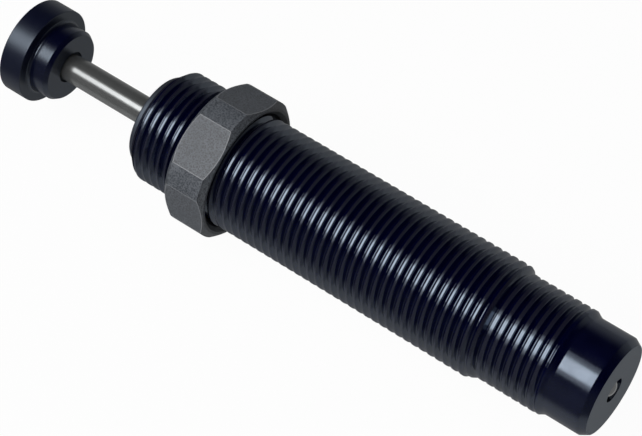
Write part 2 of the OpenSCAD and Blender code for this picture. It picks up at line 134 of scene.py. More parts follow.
def pick(piece, test):
    """Select the points, edges or faces of the open mesh for which test is true."""
    mesh = bmesh.from_edit_mesh(piece.data)
    mode = bpy.context.tool_settings.mesh_select_mode
    kind = mesh.verts if mode[0] else mesh.edges if mode[1] else mesh.faces
    for part in kind:
        part.select_set(bool(test(part)))
    mesh.select_flush_mode()
    bmesh.update_edit_mesh(piece.data)
    return sum(part.select for part in kind)


def close_mesh():
    bpy.ops.object.mode_set(mode="OBJECT")


def apply_modifier(piece, kind, **values):
    take(piece)
    modifier = piece.modifiers.new(kind.lower(), kind)
    for key, value in values.items():
        setattr(modifier, key, value)
    bpy.ops.object.modifier_apply(modifier=modifier.name)


def smooth(piece, angle=35):
    """Smooth shading up to an angle. Weighted normals keep the large faces flat."""
    take(piece)
    bpy.ops.object.shade_smooth_by_angle(angle=radians(angle))
    apply_modifier(piece, "WEIGHTED_NORMAL", keep_sharp=True)


# %% [markdown]
# ## Turning, the way a lathe does it
#
# Nearly every part here is turned: its outline is the same all the way round the axis.
# One could draw the outline and spin it. Extruding a ring from place to place and scaling
# it at each one gives the same solid, keeps the points in tidy rows, and also works on a
# ring that is already part of a bigger mesh, such as the end of a thread. So `follow`
# starts from the selected ring, and `turned` starts a new piece with a circle.

# %% Turned shapes
long_step, end_ring = 0.5, 0.06     # millimetres


def follow(outline, start):
    """Extrude the selected ring through the places (x, radius) that come after start.

    A long step gets one more ring close to each of its ends. They keep the smooth
    shading of the corners away from the faces between them.
    """
    (x, r) = start
    places = []
    for place in outline:
        before = Vector(places[-1] if places else start)
        step = Vector(place) - before
        if step.length > long_step:
            share = end_ring / step.length
            places += [tuple(before + step * share), tuple(before + step * (1 - share))]
        places.append(place)
    for (next_x, next_r) in places:
        bpy.ops.mesh.extrude_region_move(
            TRANSFORM_OT_translate={"value": ((next_x - x) * mm, 0, 0)})
        grow = next_r / r
        if abs(grow - 1) > 1e-6:
            bpy.ops.transform.resize(value=(1, grow, grow),
                                     center_override=(next_x * mm, 0, 0))
        x, r = next_x, next_r


def turned(name, outline, count):
    """A turned piece of count sides, with a flat face on its first and last ring."""
    (x, r) = outline[0]
    bpy.ops.object.select_all(action="DESELECT")
    bpy.ops.mesh.primitive_circle_add(vertices=count, radius=r * mm, fill_type="NOTHING",
                                      location=(x * mm, 0, 0), rotation=(0, radians(90), 0))
    piece = bpy.context.object
    piece.name = piece.data.name = name
    bpy.ops.object.transform_apply(location=True, rotation=True, scale=True)
    open_mesh(piece, "EDGE")
    bpy.ops.mesh.select_all(action="SELECT")
    follow(outline[1:], outline[0])
    pick(piece, lambda edge: edge.is_boundary)
    bpy.ops.mesh.edge_face_add()
    bpy.ops.mesh.select_all(action="SELECT")
    bpy.ops.mesh.normals_make_consistent(inside=False)
    close_mesh()
    return piece


def rounded(corner, before, after, radius=edge_r, count=4):
    """Places on a small arc that rounds one corner of an outline.

    The places before and after only say where the two sides of the corner run.
    """
    c, b, a = Vector(corner), Vector(before), Vector(after)
    to_b, to_a = (b - c).normalized(), (a - c).normalized()
    half = to_b.angle(to_a) / 2
    reach = radius / tan(half)
    centre = c + (to_b + to_a).normalized() * radius / sin(half)
    first, last = c + to_b * reach - centre, c + to_a * reach - centre
    return [tuple(centre + first.slerp(last, i / count).normalized() * radius)
            for i in range(count + 1)]


print("bench ready")

# %% [markdown]
# ## The thread of the body
#
# A real thread is one groove that winds round the bar. The Screw modifier makes exactly
# that: one pitch of the profile is drawn as a line of points, and the modifier turns it
# about the axis and moves it on by one pitch a turn. The other way, cutting a bar with a
# winding tool by a Boolean, leaves long thin faces that catch the light badly.
#
# The line starts in the middle of a crest, goes down one flank, along the root and up the
# other flank to the middle of the next crest. Its corners are cut off by a few hundredths
# of a millimetre, as a worn die leaves them, because a sharp corner never shows a glint.

# %% One pitch of the profile
soft = 0.035
half = [(root_half - soft, -thread_depth), (root_half + soft / 2, soft - thread_depth),
        (root_half + flank_l - soft / 2, -soft), (root_half + flank_l + soft / 2, 0),
        (root_half + flank_l + soft, 0), (pitch / 2, 0)]
profile = [(-along, up) for along, up in reversed(half)] + half


def nearest_groove(x, y, z):
    """Place along X of the groove nearest to a point, in millimetres."""
    first = groove_x + pitch * (degrees(atan2(z, y)) - groove_angle) / 360
    return first + pitch * round((x - first) / pitch)


def winding(name, x0, x1):
    """A band of thread round the axis that covers x0 to x1, with nothing at its ends."""
    turns = int((x1 - x0) / pitch) + 3
    start = nearest_groove(x0 - pitch, 0, 1)
    bpy.ops.object.select_all(action="DESELECT")
    bpy.ops.mesh.primitive_plane_add(size=mm)
    piece = bpy.context.object
    piece.name = piece.data.name = name
    open_mesh(piece)
    bpy.ops.mesh.select_all(action="SELECT")
    bpy.ops.mesh.merge(type="CENTER")
    bpy.ops.mesh.select_all(action="SELECT")
    here = (0, 0)
    for i, (along, up) in enumerate(profile):
        place = (start + along, crest_r + up)
        step = ((place[0] - here[0]) * mm, 0, (place[1] - here[1]) * mm)
        if i == 0:
            bpy.ops.transform.translate(value=step)
        else:
            bpy.ops.mesh.extrude_vertices_move(TRANSFORM_OT_translate={"value": step})
        here = place
    close_mesh()
    apply_modifier(piece, "SCREW", axis="X", angle=tau, screw_offset=pitch * mm,
                   iterations=turns, steps=steps, render_steps=steps,
                   use_merge_vertices=False)
    open_mesh(piece)
    bpy.ops.mesh.select_all(action="SELECT")
    bpy.ops.mesh.remove_doubles(threshold=merge_gap)
    close_mesh()
    return piece


body = winding("thread_body", thread_x, shoulder_x)
print("winding:", len(body.data.vertices), "points,", len(body.data.polygons), "faces")

# %% [markdown]
# ## From a plain thread to this thread
#
# Now the thread has one diameter from end to end. On the real body it was cut into a bar
# that was turned first: 19.75 mm thick, then a short taper, then 18.05 mm. So each point
# is moved in or out until it stands as deep under that bar as it stood under the crests.
# From the taper on, the crests are turned down further, which widens them. The last groove
# fades out where the tool was drawn back, and a chamfer at the front cuts into the first
# turn, so the points beside its crest are also moved apart. A cone or a lattice could do
# the taper, but not the fading groove, so this is done in code.
#
# Each point keeps a mark, `depth`: how many millimetres it lies under the turned bar. The
# finish uses it later to tell a rubbed crest from a flank.

# %% Fitting the thread to its bar
groove_end = (60.35, 60.85)   # the groove is full before the first, gone after the second
chamfer_deep, chamfer_slope = 1.28, 0.95


def taper_share(x):
    return min(max((x - taper_x) / (rear_thread_x - taper_x), 0), 1)


def bar_r(x):
    return crest_r + (rear_crest_r - crest_r) * taper_share(x)


def chamfer(x):
    """How far the chamfer at the front, of about 45 degrees, cuts below the crests."""
    return max(0, chamfer_deep - (x - thread_x) * chamfer_slope)


def fading(x, full, gone):
    """A smooth fall from 1 at full to 0 at gone."""
    share = min(max((x - full) / (gone - full), 0), 1)
    return 1 - share * share * (3 - 2 * share)


depth = body.data.attributes.new("depth", "FLOAT", "POINT")
for i, point in enumerate(body.data.vertices):
    x, y, z = (value / mm for value in point.co)
    r = hypot(y, z)
    under = crest_r - r
    groove = nearest_groove(x, y, z)
    if under > thread_depth / 2:
        under -= rear_cut * taper_share(x)
    elif abs(x - groove) < root_half + flank_l + 2 * soft:
        cut = rear_cut * taper_share(x) + chamfer(x)
        widen = min(cut * tan(flank_angle), flank_l - 2 * soft)
        point.co.x -= copysign(widen, x - groove) * mm
        x = point.co.x / mm
    under *= fading(groove, *groove_end)
    under = max(under, chamfer(x))
    depth.data[i].value = under - chamfer(x)
    scale = (bar_r(x) - under) / r
    point.co.y *= scale
    point.co.z *= scale
print("thread fitted to its bar")

# %% [markdown]
# ## Both ends of the body
#
# The winding is cut off square with Bisect, at the step behind the nose and at the rear
# shoulder. The front edge isn't round, because the groove runs through it, so one copy of
# it is brought to a circle. From there the same surface goes on as one long turned
# outline: along the nose, round into the bore, over the groove for the snap ring, along
# the bore to its closed end, out through the filling hole, over the rear face and round
# the shank. A bridge joins it to the rear edge of the thread, and the body is one closed
# skin.

# %% Ends, bore and filling hole
on_plane = 2e-6              # metres: an edge this near to a plane lies in it
cut_gap = 1e-7
ring_gap = 0.08 * mm         # points of a ring that lie closer are merged


def saw(piece, x, keep_front):
    """Cut the open mesh square to the axis and throw one side away."""
    bpy.ops.mesh.select_all(action="SELECT")
    bpy.ops.mesh.bisect(plane_co=(x * mm, 0, 0), plane_no=(1, 0, 0), use_fill=False,
                        clear_outer=keep_front, clear_inner=not keep_front,
                        threshold=cut_gap)


def pick_end(piece, x):
    """Select the open edges that lie in the plane at x."""
    return pick(piece, lambda edge: edge.is_boundary
                and all(abs(v.co.x - x * mm) < on_plane for v in edge.verts))


def make_round(piece, x, r):
    """Bring the selected points to one circle, and merge those that nearly coincide.

    Merging takes the selection away, so the ring has to be picked again after it.
    """
    mesh = bmesh.from_edit_mesh(piece.data)
    for point in mesh.verts:
        if point.select:
            scale = r * mm / hypot(point.co.y, point.co.z)
            point.co = (x * mm, point.co.y * scale, point.co.z * scale)
    bmesh.update_edit_mesh(piece.data)
    bpy.ops.mesh.remove_doubles(threshold=ring_gap)


nose_r, nose_bevel_l, nose_bevel_w = 7.9, 0.3, 0.25
nose_fillet = 0.05           # in the corner between the nose and the thread's front
mouth_bevel, hole_bevel = 0.25, 0.06
ring_x, ring_w, ring_deep = -16.75, 1.1, 0.3
fill_r, passage_r, fill_cone_x = 2.05, 1.3, 66.66
face_edge_r, shank_edge_r = 0.1, 0.35

nose = [(nose_x + nose_bevel_l, nose_r)] + rounded(
    (nose_x, nose_r - nose_bevel_w), (nose_x + nose_bevel_l, nose_r), (nose_x, bore_r))
bore = [(nose_x, bore_r + mouth_bevel), (nose_x + mouth_bevel, bore_r),
        (ring_x, bore_r), (ring_x, bore_r + ring_deep),
        (ring_x + ring_w, bore_r + ring_deep), (ring_x + ring_w, bore_r),
        (cavity_end_x, bore_r), (cavity_end_x, passage_r)]
filling_hole = [(fill_cone_x - fill_r + passage_r, passage_r), (fill_cone_x, fill_r),
                (rear_x - hole_bevel, fill_r), (rear_x, fill_r + hole_bevel)]
rear = (rounded((rear_x, rear_face_r), (rear_x, fill_r), (bevel_x, shank_r), face_edge_r)
        + rounded((bevel_x, shank_r), (rear_x, rear_face_r), (shank_x, shank_r),
                  shank_edge_r))
hollow_shoulder = [(shank_x, shank_r), (shank_x - 0.4, 8.61), (shank_x - 0.72, 8.79),
                   (shoulder_x + 0.12, 8.955)]

open_mesh(body, "EDGE")
saw(body, thread_x, keep_front=False)
saw(body, shoulder_x, keep_front=True)
edges = pick_end(body, thread_x)
bpy.ops.mesh.extrude_region_move(TRANSFORM_OT_translate={"value": (0, 0, 0)})
make_round(body, thread_x, nose_r + nose_fillet)
ring_edges = pick_end(body, thread_x)
print("front edge:", edges, "edges, and as a ring", ring_edges)
follow([(thread_x - nose_fillet, nose_r)] + nose + bore + filling_hole + rear
       + hollow_shoulder, (thread_x, nose_r + nose_fillet))
pick(body, lambda edge: edge.is_boundary)
bpy.ops.mesh.bridge_edge_loops()
bpy.ops.mesh.select_all(action="SELECT")
bpy.ops.mesh.normals_make_consistent(inside=False)
close_mesh()
smooth(body, 38)
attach(body, "housing")
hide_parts("outer_body")
print("body:", len(body.data.polygons), "faces")

# %% [markdown]
# ## The lock nut
#
# The nut is turned first, as a ring with bevels and a corner diameter of 24.8 mm, and
# the six flats are milled afterwards. Doing it in that order gives the curved edges
# between flat and bevel that every real nut has, with no drawing at all: six planes cut
# the ring, and Bisect fills each cut with one flat face. Inset then leaves a narrow rim
# round each flat, which gets the mark `rubbed` for its finish.
#
# Its bore has the same winding as the body, a little larger, so that the two mesh at rest
# and after every full turn. Where the countersinks are wider than the thread, the points
# are moved out onto their cones.

# %% Threaded bore
nut_x0, nut_x1 = -7.8, 0.0
nut_face_r, nut_corner_r, nut_flat = 11.4, 12.4, 11.6
nut_bevel_l = (nut_corner_r - nut_face_r) * tan(radians(40))
nut_clocking = 2.4           # turned position about X, in degrees
nut_gap = 0.07               # between the threads of nut and body
nut_minor_r, sink_r = 9.2, 10.95
rim_w, rim_rise = 0.1, 0.012
square, leaning = 0.9999, 0.98      # how far a normal agrees with a flat's direction
smallest_flat = 20 * mm * mm

nut = winding("hex_nut", nut_x0, nut_x1)
open_mesh(nut, "EDGE")
saw(nut, nut_x0, keep_front=False)
saw(nut, nut_x1, keep_front=True)
close_mesh()
for point in nut.data.vertices:
    x, y, z = (value / mm for value in point.co)
    r = hypot(y, z)
    cone_r = sink_r - min(x - nut_x0, nut_x1 - x)
    scale = max(r + nut_gap, nut_minor_r, cone_r) / r
    point.co.y *= scale
    point.co.z *= scale
print("threaded bore:", len(nut.data.polygons), "faces")

# %% Turned outside and six flats
open_mesh(nut, "EDGE")
pick_end(nut, nut_x0)
follow([(nut_x0, nut_face_r), (nut_x0 + nut_bevel_l, nut_corner_r),
        (nut_x1 - nut_bevel_l, nut_corner_r), (nut_x1, nut_face_r)], (nut_x0, sink_r))
pick(nut, lambda edge: edge.is_boundary)
bpy.ops.mesh.bridge_edge_loops()
flat_sides = []
for side in range(6):
    angle = radians(nut_clocking + 60 * side)
    out = Vector((0, cos(angle), sin(angle)))
    flat_sides.append(out)
    bpy.ops.mesh.select_all(action="SELECT")
    bpy.ops.mesh.bisect(plane_co=out * nut_flat * mm, plane_no=out, use_fill=True,
                        clear_outer=True, threshold=cut_gap)
bpy.ops.mesh.select_all(action="SELECT")
bpy.ops.mesh.normals_make_consistent(inside=False)
bpy.ops.mesh.select_mode(type="FACE")
flats = pick(nut, lambda face: any(face.normal.dot(out) > square for out in flat_sides)
             and face.calc_area() > smallest_flat)
bpy.ops.mesh.inset(thickness=rim_w * mm, depth=rim_rise * mm, use_individual=True)
close_mesh()
smooth(nut, 18)
rubbed = nut.data.attributes.new("rubbed", "FLOAT", "CORNER")
for face in nut.data.polygons:
    if not face.select and any(face.normal.dot(out) > leaning for out in flat_sides):
        for i in face.loop_indices:
            rubbed.data[i].value = 1
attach(nut, "nut")
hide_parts("lock_nut")
print("nut:", flats, "flats,", len(nut.data.polygons), "faces")

# %% [markdown]
# ## Button and rod
#
# The button is a disc with a hub behind it, turned in one piece, with a fillet between the
# two and all its outer corners rounded by about a tenth of a millimetre. The rod is
# ground: it has a sharp shoulder where the piston sits, a stem, and a small bevel in
# front, which hides in the button's socket.

# %% Button
button_x, disc_rear_x, hub_face_x = -45.35, -41.05, -37.05
button_r, hub_r, hub_bevel_w, hub_bevel_l, fillet = 8.4, 6.35, 0.48, 0.75, 0.6
rod_r, socket_r, recess_r, recess_l, recess_bevel = 2.375, 2.395, 2.8, 0.9, 0.05
socket_x, hub_edge_r, centre_r = -42.985, 0.06, 0.8
fillet_places = [(disc_rear_x + fillet * (1 - cos(radians(angle))),
                  hub_r + fillet * (1 - sin(radians(angle))))
                 for angle in range(90, -1, -15)]
button = turned("impact_head", [
    (socket_x, socket_r), (hub_face_x - recess_l, socket_r),
    (hub_face_x - recess_l, recess_r), (hub_face_x - recess_bevel, recess_r),
    (hub_face_x, recess_r + recess_bevel)]
    + rounded((hub_face_x, hub_r - hub_bevel_w), (hub_face_x, recess_r),
              (hub_face_x - hub_bevel_l, hub_r), hub_edge_r)
    + rounded((hub_face_x - hub_bevel_l, hub_r), (hub_face_x, hub_r - hub_bevel_w),
              (disc_rear_x, hub_r))
    + fillet_places
    + rounded((disc_rear_x, button_r), (disc_rear_x, hub_r), (button_x, button_r))
    + rounded((button_x, button_r), (disc_rear_x, button_r), (button_x, centre_r))
    + [(button_x, centre_r)], count=160)
smooth(button, 30)
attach(button, "rod")
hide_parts("impact_button")

# %% Rod
rod_front_x, piston_x, stem_end_x, stem_r = -42.885, 7.8, 16.8, 1.8
rod_bevel, shoulder_bevel = 0.3, 0.08
plain_rings = (-30, -18)     # places along its long plain part
rod = turned("ground_rod", [
    (rod_front_x, rod_r - rod_bevel), (rod_front_x + rod_bevel, rod_r),
    *((x, rod_r) for x in plain_rings),
    (piston_x - shoulder_bevel, rod_r), (piston_x, rod_r - shoulder_bevel),
    (piston_x, stem_r),
    (stem_end_x - rod_bevel, stem_r), (stem_end_x, stem_r - rod_bevel)], count=96)
smooth(rod, 30)
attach(rod, "rod")
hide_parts("piston_rod")
print("button:", len(button.data.polygons), "faces; rod:", len(rod.data.polygons))

# %% [markdown]
# ## Ball and return spring
#
# The filling hole is closed by a steel ball. An icosphere has evenly spread faces, so it
# is used rather than a sphere with poles, and one more subdivision, cast back to a
# sphere, makes its outline clean.
#
# The return spring is drawn wire: 20 turns, of which the first and the last lie closed.
# A curve with a round bevel is the quickest way to such a wire. In the absorber it gets
# shorter as the rod goes in; here it is made at one length only.

# %% Ball
ball_r, ball_x = 2.0, 67.45
bpy.ops.mesh.primitive_ico_sphere_add(subdivisions=4, radius=ball_r * mm,
                                      location=(ball_x * mm, 0, 0))
ball = bpy.context.object
ball.name = ball.data.name = "fill_plug_ball"
bpy.ops.object.transform_apply(location=True, rotation=True, scale=True)
open_mesh(ball)
bpy.ops.mesh.select_all(action="SELECT")
bpy.ops.mesh.subdivide(number_cuts=1, smoothness=0)
mesh = bmesh.from_edit_mesh(ball.data)
centre = Vector((ball_x * mm, 0, 0))
for point in mesh.verts:
    point.co = centre + (point.co - centre).normalized() * ball_r * mm
bmesh.update_edit_mesh(ball.data)
close_mesh()
smooth(ball, 40)
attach(ball, "housing")
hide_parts("fill_ball")

# %% Return spring
coil_x0, coil_x1, wire_r, coil_r, coil_turns = 15.95, 59.95, 0.4, 3.75, 20
coil_l = coil_x1 - coil_x0 - 2 * wire_r
closed = 1.1                 # turns that lie closed at each end
closed_rise = 2.08           # rise of a closed turn, in radii of the wire
closed_l = closed * wire_r * closed_rise
points_a_turn = 24


def coil_rise(turn):
    """How far the wire has come along the axis after so many turns."""
    if turn < closed:
        return turn / closed * closed_l
    if turn > coil_turns - closed:
        return coil_l - (coil_turns - turn) / closed * closed_l
    share = (turn - closed) / (coil_turns - 2 * closed)
    return closed_l + share * (coil_l - 2 * closed_l)


wire = bpy.data.curves.new("coil_wire", "CURVE")
wire.dimensions = "3D"
wire.bevel_depth = wire_r * mm
wire.bevel_resolution = 2
wire.use_fill_caps = True
line = wire.splines.new("POLY")
line.points.add(coil_turns * points_a_turn)
for i, point in enumerate(line.points):
    turn = i / points_a_turn
    point.co = ((coil_x0 + wire_r + coil_rise(turn)) * mm, coil_r * cos(tau * turn) * mm,
                coil_r * sin(tau * turn) * mm, 1)
coil = bpy.data.objects.new("return_coil", wire)
bpy.context.scene.collection.objects.link(coil)
take(coil)
bpy.ops.object.convert(target="MESH")
coil = bpy.context.object
open_mesh(coil)
bpy.ops.mesh.select_all(action="SELECT")
bpy.ops.mesh.remove_doubles(threshold=merge_gap)
bpy.ops.mesh.normals_make_consistent(inside=False)
close_mesh()
smooth(coil, 50)
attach(coil, "housing")
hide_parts("return_spring")
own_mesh(coil)

# %% [markdown]
# ## Effects that several finishes share
#
# A finish is a colour, a gloss and a surface that are never quite even. Three effects
# come back in most of them, so each is a node group that is built once:
#
# - `turning_lines`: the fine rings that a lathe tool leaves. They follow the distance
#   along the axis on round faces, and the radius on flat faces, so the sum of both is
#   used, with a slow drift, in a noise that only sees that one number.
# - `cloudiness`: slow changes over a few millimetres, as in an oxide bath or oil film.
# - `grain`: a fine crystalline surface, as phosphate and rubber have.
#
# Each group reads Object coordinates, which stay with the piece when it moves, and puts
# out a value from 0 to 1. Where the real surface changes at a certain place, a finish
# asks for that place itself, as the distance along the axis or from it.

# %% Building node groups
def new_group(name, inputs):
    """A node group with number inputs and their defaults, and one output, Value."""
    group = bpy.data.node_groups.new(name, "ShaderNodeTree")
    for label, value in inputs.items():
        socket = group.interface.new_socket(label, in_out="INPUT",
                                            socket_type="NodeSocketFloat")
        socket.default_value = value
    group.interface.new_socket("Value", in_out="OUTPUT", socket_type="NodeSocketFloat")
    enter = group.nodes.new("NodeGroupInput")
    leave = group.nodes.new("NodeGroupOutput")
    return group, enter, leave


def calculate(tree, operation, a, b=None, c=None, clamp=False):
    """A Math node; a, b and c are numbers or sockets. Gives its output."""
    node = tree.nodes.new("ShaderNodeMath")
    node.operation = operation
    node.use_clamp = clamp
    for socket, value in zip(node.inputs, (a, b, c)):
        if value is None:
            continue
        if isinstance(value, (int, float)):
            socket.default_value = value
        else:
            tree.links.new(value, socket)
    return node.outputs[0]


def object_place(tree):
    """Object coordinates in millimetres: the vector, x, and the distance from the axis."""
    place = tree.nodes.new("ShaderNodeTexCoord").outputs["Object"]
    scale = tree.nodes.new("ShaderNodeVectorMath")
    scale.operation = "SCALE"
    scale.inputs["Scale"].default_value = 1 / mm
    tree.links.new(place, scale.inputs[0])
    split = tree.nodes.new("ShaderNodeSeparateXYZ")
    tree.links.new(scale.outputs[0], split.inputs[0])
    x, y, z = split.outputs
    squares = calculate(tree, "ADD", calculate(tree, "MULTIPLY", y, y),
                        calculate(tree, "MULTIPLY", z, z))
    return scale.outputs[0], x, calculate(tree, "SQRT", squares)


def noise(tree, dimensions, scale, detail=2.0, roughness=0.5, vector=None, w=None):
    """Noise in space, by a vector, or along one number, w."""
    node = tree.nodes.new("ShaderNodeTexNoise")
    node.noise_dimensions = dimensions
    for label, value in (("Detail", detail), ("Roughness", roughness), ("Scale", scale)):
        if isinstance(value, (int, float)):
            node.inputs[label].default_value = value
        else:
            tree.links.new(value, node.inputs[label])
    if vector is not None:
        tree.links.new(vector, node.inputs["Vector"])
    if w is not None:
        tree.links.new(w, node.inputs["W"])
    return node.outputs["Fac"]


turning_lines, enter, leave = new_group("turning_lines",
                                        {"Lines per mm": 6.0, "Wander": 0.15})
place, x, r = object_place(turning_lines)
drift = noise(turning_lines, "3D", 0.35, 1.0, vector=place)
along = calculate(turning_lines, "ADD", calculate(turning_lines, "ADD", x, r),
                  calculate(turning_lines, "MULTIPLY", drift, enter.outputs["Wander"]))
lines = noise(turning_lines, "1D", enter.outputs["Lines per mm"], 3.0, 0.6, w=along)
turning_lines.links.new(lines, leave.inputs["Value"])

cloudiness, enter, leave = new_group("cloudiness", {"Clouds per mm": 0.3})
place, _, _ = object_place(cloudiness)
clouds = noise(cloudiness, "3D", enter.outputs["Clouds per mm"], 4.0, 0.55, vector=place)
spread = calculate(cloudiness, "MULTIPLY_ADD", clouds, 2.6, -0.8, clamp=True)
cloudiness.links.new(spread, leave.inputs["Value"])

grain, enter, leave = new_group("grain", {"Grains per mm": 5.0})
place, _, _ = object_place(grain)
cells = grain.nodes.new("ShaderNodeTexVoronoi")
cells.feature = "SMOOTH_F1"
cells.inputs["Smoothness"].default_value = 0.6
grain.links.new(place, cells.inputs["Vector"])
grain.links.new(enter.outputs["Grains per mm"], cells.inputs["Scale"])
fine = noise(grain, "3D", enter.outputs["Grains per mm"], 3.0, 0.65, vector=place)
mixed = calculate(grain, "MULTIPLY_ADD", cells.outputs["Distance"], 0.5, fine)
grain.links.new(calculate(grain, "MULTIPLY_ADD", mixed, 1.0, -0.25, clamp=True),
                leave.inputs["Value"])
print("effects:", [g.name for g in (turning_lines, cloudiness, grain)])

# %% [markdown]
# ## Finishes
#
# Each finish is one Principled BSDF. What is the same all over is typed into its sockets.
# What changes over the surface comes from the groups: they mix two colours, two values of
# roughness, or give a height to a Bump node.

# %% Helpers for finishes
class Finish:
    """A material, with short ways to change one socket over the surface."""

    def __init__(self, name, colour, roughness, metallic=0.0, **sockets):
        self.material = bpy.data.materials.new(name)
        self.material.use_nodes = True
        self.tree = self.material.node_tree
        self.shader = self.tree.nodes["Principled BSDF"]
        self.set("Base Color", (*colour, 1))
        self.set("Roughness", roughness)
        self.set("Metallic", metallic)
        for label, value in sockets.items():
            self.set(label.replace("_", " "), value)

    def set(self, label, value):
        self.shader.inputs[label].default_value = value

    def link(self, label, socket):
        self.tree.links.new(socket, self.shader.inputs[label])

    def effect(self, group, **values):
        """The output of a node group; an underscore in a name stands for a space."""
        node = self.tree.nodes.new("ShaderNodeGroup")
        node.node_tree = group
        for label, value in values.items():
            node.inputs[label.replace("_", " ")].default_value = value
        return node.outputs["Value"]

    def mark(self, name):
        """A number that was written on the mesh when the piece was made."""
        node = self.tree.nodes.new("ShaderNodeAttribute")
        node.attribute_name = name
        return node.outputs["Fac"]

    def span(self, value, low, high):
        """Stretch a value so that low gives 0 and high gives 1, also if low is larger."""
        node = self.tree.nodes.new("ShaderNodeMapRange")
        node.interpolation_type = "SMOOTHSTEP"
        node.inputs["From Min"].default_value = low
        node.inputs["From Max"].default_value = high
        self.tree.links.new(value, node.inputs["Value"])
        return node.outputs["Result"]

    def mix(self, mask, low, high):
        """Mix two colours or numbers; either may be a socket."""
        node = self.tree.nodes.new("ShaderNodeMix")
        numbers = isinstance(low, (int, float)) or getattr(low, "type", "") == "VALUE"
        node.data_type = "FLOAT" if numbers else "RGBA"
        # A Mix node has sockets of its own for numbers and for colours
        first, last, result = (2, 3, 0) if numbers else (6, 7, 2)
        for place, value in ((first, low), (last, high)):
            if hasattr(value, "type"):
                self.tree.links.new(value, node.inputs[place])
            else:
                node.inputs[place].default_value = value if numbers else (*value, 1)
        self.tree.links.new(mask, node.inputs["Factor"])
        return node.outputs[result]

    def bump(self, height, distance, strength=1.0):
        """Add a bump of so many millimetres; each call adds to the one before."""
        node = self.tree.nodes.new("ShaderNodeBump")
        node.inputs["Distance"].default_value = distance * mm
        node.inputs["Strength"].default_value = strength
        self.tree.links.new(height, node.inputs["Height"])
        before = self.shader.inputs["Normal"].links
        if before:
            self.tree.links.new(before[0].from_socket, node.inputs["Normal"])
        self.link("Normal", node.outputs["Normal"])


def dress(piece, finish):
    piece.data.materials.clear()
    piece.data.materials.append(finish.material)


# %% [markdown]
# ### Black oxide
#
# The body is blackened in a bath: a thin, dark, bluish glass over turned steel. It is
# not a metal to look at, but it mirrors more than paint does, so its index of refraction
# is high. Where nothing rubs, in the flanks and roots of the thread, it is smoothest. The
# crests are rubbed a little, so they are paler and duller. The nose and the rear face
# were turned last and took less of the oxide. They are greyer still, and show the tool's
# rings.

# %% Black oxide for the body
black = Finish("black_oxide_finish", (0.0003, 0.0008, 0.014), 0.2, IOR=2.2)
black.set("Specular Tint", (0.85, 1.0, 1.2, 1))
_, x, r = object_place(black.tree)
clouds = black.effect(cloudiness, Clouds_per_mm=0.4)
lines = black.effect(turning_lines, Lines_per_mm=7.0, Wander=0.3)
no_crest, full_crest = 0.09, 0.03       # millimetres under the turned bar
on_thread = black.span(x, land_x + 0.15, land_x - 0.05)
on_crest = calculate(black.tree, "MULTIPLY", on_thread,
                     black.span(black.mark("depth"), no_crest, full_crest))
sheltered = calculate(black.tree, "SUBTRACT",
                      black.span(x, shank_x - 0.05, shank_x - 0.3), on_crest)
on_nose = black.span(x, thread_x + 0.02, thread_x - 0.02)
on_rear_face = calculate(black.tree, "MULTIPLY",
                         black.span(x, rear_x - 0.05, rear_x - 0.01),
                         black.span(r, fill_r + 0.02, fill_r + 0.08))
tone = black.mix(clouds, (0.0001, 0.0004, 0.014), (0.0005, 0.001, 0.021))
tone = black.mix(on_crest, tone, (0.012, 0.012, 0.026))
nose_tone = black.mix(lines, (0.026, 0.028, 0.04), (0.046, 0.049, 0.061))
tone = black.mix(on_nose, tone, nose_tone)
face_tone = black.mix(lines, (0.2, 0.22, 0.25), (0.16, 0.18, 0.205))
black.link("Base Color", black.mix(on_rear_face, tone, face_tone))
dullness = black.mix(sheltered, black.mix(clouds, 0.14, 0.22), 0.07)
dullness = black.mix(on_nose, dullness, 0.5)
black.link("Roughness", black.mix(on_rear_face, dullness, 0.45))
black.bump(lines, 0.004, 0.35)
dress(body, black)

# %% [markdown]
# ### Phosphate grey of the nut, satin black of the button, steel of rod and ball
#
# The nut has a grainy grey coat that scatters nearly all light. The narrow rims that Inset
# left round its flats have the mark `rubbed` and are brighter. Its bore is coloured near
# black: painted shade for the shade that falls into it. The button is black like the body
# but satin, because its turning lines are coarser. Rod and ball are bare metal.

# %% Finishes of the parts that are seen
grey = Finish("phosphate_finish", (0.07, 0.076, 0.084), 0.45, IOR=1.75)
_, _, r = object_place(grey.tree)
grains = grey.span(grey.effect(grain, Grains_per_mm=4.0), 0.24, 0.66)
clouds = grey.effect(cloudiness, Clouds_per_mm=0.25)
pale = grey.mix(grains, (0.02, 0.024, 0.032), (0.158, 0.173, 0.196))
worn = grey.mix(grains, (0.044, 0.051, 0.062), (0.125, 0.139, 0.16))
tone = grey.mix(clouds, pale, worn)
tone = grey.mix(grey.mark("rubbed"), tone, (0.3, 0.31, 0.33))
# Painted shade: inside the bore the colour is near black, standing for the shade that falls
# into it, and the coat there is made matt.
bore_shade = grey.span(r, sink_r - 0.6, sink_r - 0.7)
grey.link("Base Color", grey.mix(bore_shade, tone, (0.002, 0.0025, 0.012)))
grey.link("Roughness", grey.mix(bore_shade, grey.mix(grains, 0.38, 0.55), 0.95))
grey.bump(grains, 0.02, 0.6)
dress(nut, grey)

satin = Finish("satin_black_finish", (0.006, 0.008, 0.02), 0.33, IOR=2.1)
satin.set("Specular Tint", (0.86, 1.0, 1.16, 1))
_, x, _ = object_place(satin.tree)
lines = satin.effect(turning_lines, Lines_per_mm=5.0, Wander=0.1)
clouds = satin.effect(cloudiness, Clouds_per_mm=0.5)
on_hub = satin.span(x, disc_rear_x, disc_rear_x + 0.1)
tone = satin.mix(lines, (0.001, 0.0015, 0.014), (0.008, 0.010, 0.026))
tone = satin.mix(clouds, tone, (0.003, 0.004, 0.02))
satin.link("Base Color", satin.mix(on_hub, tone, (0.0006, 0.0012, 0.016)))
satin.link("Roughness", satin.mix(on_hub, satin.mix(lines, 0.24, 0.38), 0.22))
satin.bump(lines, 0.006, 0.5)
dress(button, satin)

